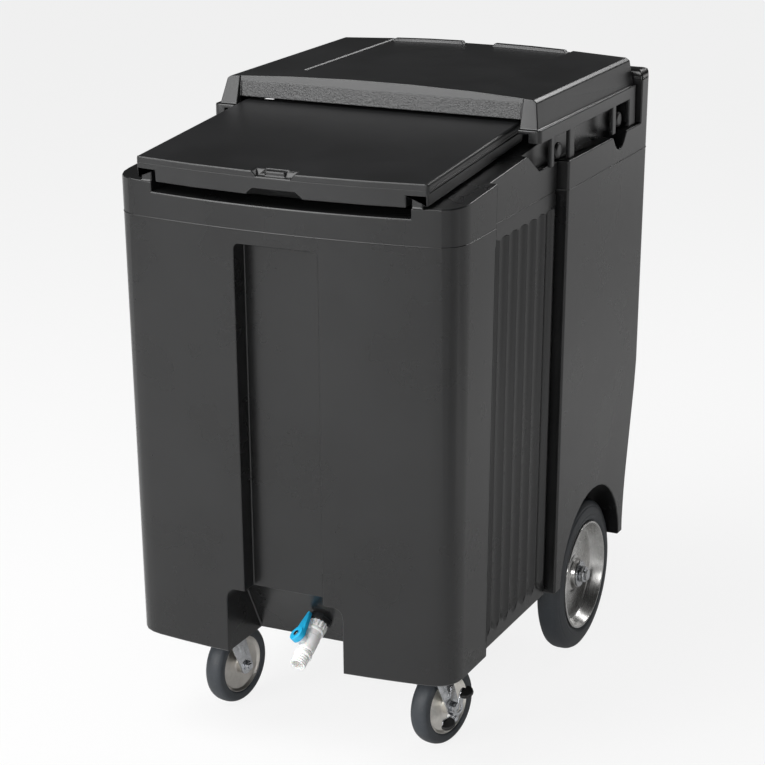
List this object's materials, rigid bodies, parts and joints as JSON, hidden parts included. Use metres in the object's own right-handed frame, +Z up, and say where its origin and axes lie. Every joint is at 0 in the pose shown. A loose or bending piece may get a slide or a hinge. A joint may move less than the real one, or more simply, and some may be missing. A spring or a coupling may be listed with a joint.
{
  "type": "mobile ice bin",
  "caption": "Tall insulated ice bin on two large rear wheels and two swivelling front casters, with sliding lid, lift-off rear cover, drain shelf and drain valve.",
  "frame": {"origin": "on the floor, under the middle of the bin's bounding box", "axes": "+Z up, +Y towards the rear handle wall, +X towards the side with the braked caster, so the front with the drain notch faces -Y"},
  "size_m": [0.562, 0.7982, 0.9824],
  "materials": {
    "body_plastic": "fine moulded grain, black",
    "lid_plastic": "fine moulded grain, black",
    "cover_plastic": "fine moulded grain, black",
    "knob_plastic": "smooth black",
    "fitting_plastic": "smooth black",
    "valve_plastic": "white, moulded",
    "lever_plastic": "blue, moulded",
    "shelf_plastic": "grey, food safe",
    "gasket_rubber": "matt",
    "pad_rubber": "ribbed, matt",
    "wheel_rubber": "grey, non marking",
    "wheel_alloy": "cast and turned",
    "core_metal": "bright plated",
    "zinc_steel": "bright zinc plate",
    "bush_plastic": "smooth black"
  },
  "bodies": {
    "tub": {"body_shell": "body_plastic", "rear_axle": "zinc_steel", "axle_bracket_left": "zinc_steel", "axle_bracket_right": "zinc_steel", "rear_washer_left": "zinc_steel", "rear_washer_right": "zinc_steel", "rear_nut_left": "zinc_steel", "rear_nut_right": "zinc_steel", "bulkhead_gasket": "gasket_rubber", "bulkhead_fitting": "fitting_plastic", "bulkhead_nut": "fitting_plastic", "valve_union_nut": "valve_plastic", "valve_body": "valve_plastic", "outlet_spout": "valve_plastic", "caster_plate_left": "zinc_steel", "caster_plate_right": "zinc_steel", "caster_kingpin_left": "zinc_steel", "caster_kingpin_right": "zinc_steel", "caster_bolt_left_1": "zinc_steel", "caster_bolt_left_2": "zinc_steel", "caster_bolt_left_3": "zinc_steel", "caster_bolt_left_4": "zinc_steel", "caster_bolt_right_1": "zinc_steel", "caster_bolt_right_2": "zinc_steel", "caster_bolt_right_3": "zinc_steel", "caster_bolt_right_4": "zinc_steel", "cover_knob_front_right": "knob_plastic", "cover_knob_front_left": "knob_plastic", "cover_knob_rear_right": "knob_plastic", "cover_knob_rear_left": "knob_plastic"},
    "lid": {"sliding_lid": "lid_plastic"},
    "cover": {"rear_cover": "cover_plastic"},
    "shelf": {"drain_shelf": "shelf_plastic"},
    "valve_handle": {"valve_lever": "lever_plastic", "lever_screw": "zinc_steel", "valve_stem": "valve_plastic", "valve_ball": "valve_plastic"},
    "left_swivel": {"caster_race_left": "zinc_steel", "caster_fork_left": "zinc_steel", "caster_axle_bolt_left": "zinc_steel", "caster_axle_nut_left": "zinc_steel"},
    "right_swivel": {"caster_race_right": "zinc_steel", "caster_fork_right": "zinc_steel", "caster_axle_bolt_right": "zinc_steel", "caster_axle_nut_right": "zinc_steel"},
    "left_front_wheel": {"caster_tyre_left": "wheel_rubber", "caster_core_left": "core_metal", "caster_bush_left": "bush_plastic"},
    "right_front_wheel": {"caster_tyre_right": "wheel_rubber", "caster_core_right": "core_metal", "caster_bush_right": "bush_plastic"},
    "brake": {"brake_pedal": "zinc_steel", "brake_tread_upper": "pad_rubber", "brake_tread_lower": "pad_rubber"},
    "left_rear_wheel": {"rear_tyre_left": "wheel_rubber", "rear_rim_left": "wheel_alloy", "rear_bush_left": "bush_plastic"},
    "right_rear_wheel": {"rear_tyre_right": "wheel_rubber", "rear_rim_right": "wheel_alloy", "rear_bush_right": "bush_plastic"}
  },
  "joints": [
    {"name": "lid_slide", "type": "slide", "parent": "tub", "child": "lid", "axis": [0, 0.9969, 0.0785], "range_m": [0, 0.32]},
    {"name": "cover_lift", "type": "slide", "parent": "tub", "child": "cover", "axis": [0, 0, 1], "range_m": [0, 0.12]},
    {"name": "shelf_lift", "type": "slide", "parent": "tub", "child": "shelf", "axis": [0, 0, 1], "range_m": [0, 0.25]},
    {"name": "valve_turn", "type": "hinge", "parent": "tub", "child": "valve_handle", "pos_m": [0.018, -0.34484, 0.17503], "axis": [-0.5, -0.4218, 0.7564], "range_deg": [0, 90]},
    {"name": "left_caster_swivel", "type": "hinge", "parent": "tub", "child": "left_swivel", "pos_m": [-0.178, -0.267, 0.14], "axis": [0, 0, 1], "continuous": true},
    {"name": "right_caster_swivel", "type": "hinge", "parent": "tub", "child": "right_swivel", "pos_m": [0.178, -0.267, 0.14], "axis": [0, 0, 1], "continuous": true},
    {"name": "left_caster_roll", "type": "hinge", "parent": "left_swivel", "child": "left_front_wheel", "pos_m": [-0.17179, -0.22951, 0.0635], "axis": [0.9866, -0.1633, 0], "continuous": true},
    {"name": "right_caster_roll", "type": "hinge", "parent": "right_swivel", "child": "right_front_wheel", "pos_m": [0.18713, -0.23011, 0.0635], "axis": [0.9707, -0.2402, 0], "continuous": true},
    {"name": "brake_press", "type": "hinge", "parent": "right_swivel", "child": "brake", "pos_m": [0.21549, -0.24537, 0.05], "axis": [0.9707, -0.2402, 0], "range_deg": [0, 18]},
    {"name": "left_rear_roll", "type": "hinge", "parent": "tub", "child": "left_rear_wheel", "pos_m": [-0.236, 0.203, 0.127], "axis": [1, 0, 0], "continuous": true},
    {"name": "right_rear_roll", "type": "hinge", "parent": "tub", "child": "right_rear_wheel", "pos_m": [0.236, 0.203, 0.127], "axis": [1, 0, 0], "continuous": true}
  ]
}
